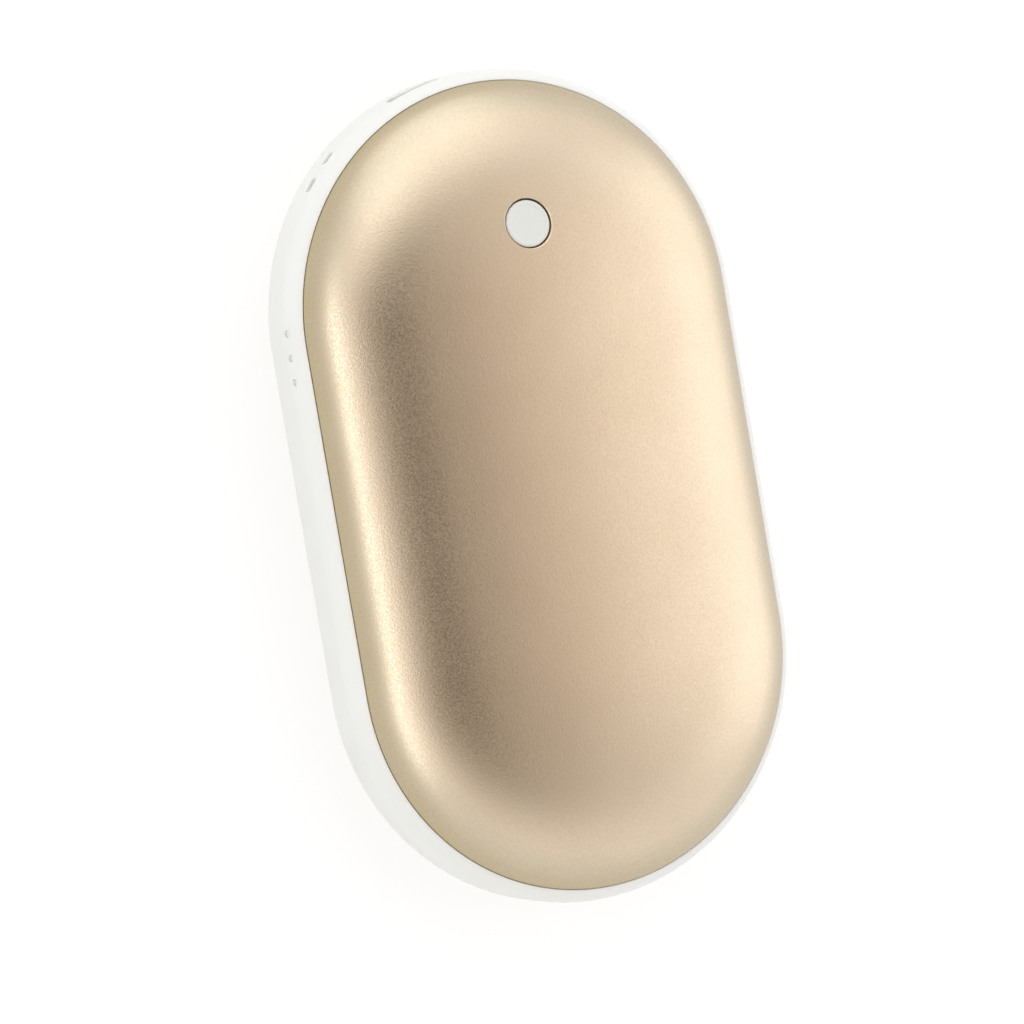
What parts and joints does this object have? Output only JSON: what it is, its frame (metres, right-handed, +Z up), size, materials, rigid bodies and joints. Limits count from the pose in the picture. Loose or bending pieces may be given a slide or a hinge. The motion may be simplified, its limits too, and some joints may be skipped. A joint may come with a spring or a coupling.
{
  "type": "rechargeable hand warmer",
  "caption": "Pill-shaped pocket hand warmer and power bank: two crowned champagne gold metal shells on a white plastic band, with a small round button near one end.",
  "frame": {"origin": "centre of the flat land under the back shell, the bottom centre of the bounding box, with the part lying on its back", "axes": "+X to the right and +Y towards the button end, both as seen from the front; +Z up, out of the front shell"},
  "size_m": [0.0586, 0.1, 0.0229],
  "materials": {
    "gold_metal": "satin anodised champagne gold, fine blasted grain",
    "white_plastic": "satin moulded white",
    "inner_plastic": "plain moulded white",
    "frosted_plastic": "frosted translucent white",
    "clear_plastic": "milky clear",
    "sealant": "cured bead",
    "circuit_board": "green solder mask",
    "black_plastic": "moulded black",
    "tan_ceramic": "fired ceramic",
    "grey_plastic": "moulded grey",
    "steel": "bright tinned or nickelled",
    "gold_plate": "gold flash",
    "pouch_foil": "laminated foil",
    "heater_film": "amber film",
    "foam": "closed-cell foam",
    "red_insulation": "smooth",
    "black_insulation": "smooth"
  },
  "bodies": {
    "housing": {"front_shell": "gold_metal", "back_shell": "gold_metal", "mid_frame": "white_plastic", "button_guide": "inner_plastic", "battery_tray": "inner_plastic", "indicator_light_pipe": "clear_plastic", "indicator_leds": "clear_plastic", "button_led": "clear_plastic", "front_seal_ring": "sealant", "back_seal_ring": "sealant", "main_board": "circuit_board", "protection_board": "circuit_board", "tact_switch_body": "black_plastic", "controller_chip": "black_plastic", "power_transistors": "black_plastic", "usb_a_insulator": "black_plastic", "micro_usb_insulator": "black_plastic", "power_inductor": "black_plastic", "board_resistors": "black_plastic", "front_thermistor": "black_plastic", "back_thermistor": "black_plastic", "filter_capacitors": "tan_ceramic", "usb_a_shell": "steel", "micro_usb_shell": "steel", "tact_switch_dome": "steel", "cell_tabs": "steel", "board_screws": "steel", "tray_screws": "steel", "usb_a_contacts": "gold_plate", "micro_usb_contacts": "gold_plate", "front_battery_cell": "pouch_foil", "back_battery_cell": "pouch_foil", "front_heater_film": "heater_film", "back_heater_film": "heater_film", "front_foam_pad": "foam", "back_foam_pad": "foam", "cell_bonding_pad": "foam", "battery_lead_red": "red_insulation", "front_heater_leads": "red_insulation", "back_heater_leads": "red_insulation", "battery_lead_black": "black_insulation", "front_thermistor_leads": "black_insulation", "back_thermistor_leads": "black_insulation"},
    "button": {"button_cap": "frosted_plastic"},
    "switch_plunger": {"tact_switch_plunger": "grey_plastic"}
  },
  "joints": [
    {"name": "button_press", "type": "slide", "parent": "housing", "child": "button", "axis": [0, 0, -1], "range_m": [0, 0.0003], "stiffness_N_per_m": 5000},
    {"name": "plunger_press", "type": "slide", "parent": "housing", "child": "switch_plunger", "axis": [0, 0, -1], "range_m": [0, 0.0003], "deforming": ["tact_switch_dome"]}
  ],
  "couplings": [
    {"joint": "plunger_press", "follows": "button_press", "ratio": 1}
  ]
}
